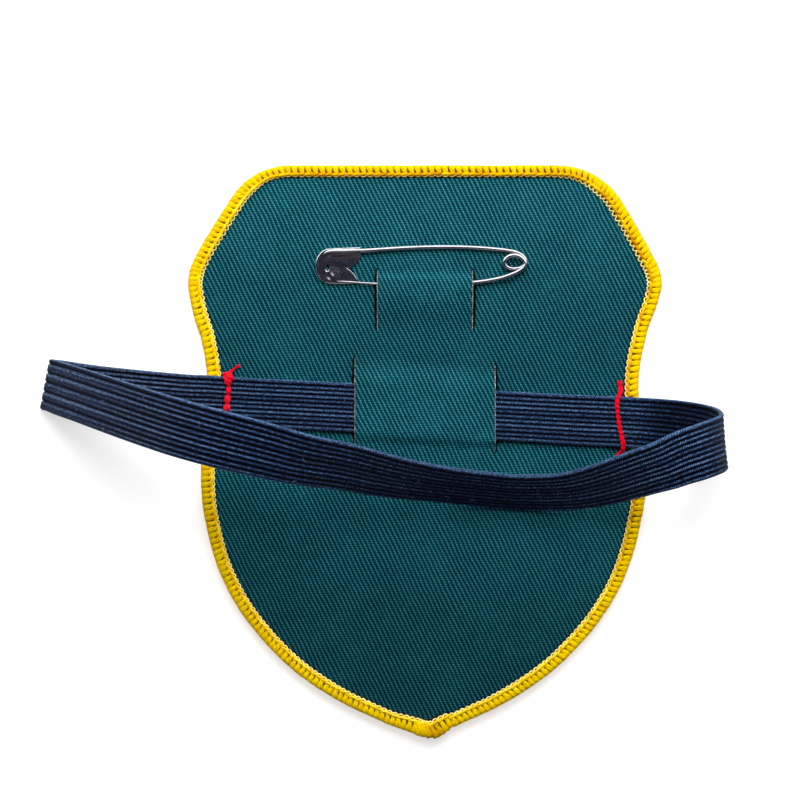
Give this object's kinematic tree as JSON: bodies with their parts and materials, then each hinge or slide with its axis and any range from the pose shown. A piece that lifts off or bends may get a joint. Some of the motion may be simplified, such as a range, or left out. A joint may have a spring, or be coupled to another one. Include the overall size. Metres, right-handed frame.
{
  "type": "shoulder patch",
  "caption": "Shield-shaped cloth shoulder patch lying face down, with an overlocked edge, a loop of ribbed elastic for the arm and a safety pin threaded through slits in its back.",
  "frame": {"origin": "middle of the patch's front face, which lies on the floor", "axes": "+Z out of the back of the patch, -Z out of its front, +Y to the straight top edge, +X across the patch along the elastic, to the side where the loop turns in a round bend"},
  "size_m": [0.1351, 0.1144, 0.0321],
  "materials": {
    "cloth": "green-teal cotton twill",
    "border_yarn": "bright yellow overlock yarn",
    "elastic": "dark blue-black ribbed elastic webbing",
    "tacking_thread": "red sewing thread",
    "nickel": "bright nickel plate"
  },
  "bodies": {
    "root": {"face_panel": "cloth", "back_panel": "cloth", "merrow_border": "border_yarn", "elastic_band": "elastic", "tack_left": "tacking_thread", "tack_right": "tacking_thread", "pin_wire": "nickel", "pin_clasp": "nickel"}
  },
  "joints": []
}
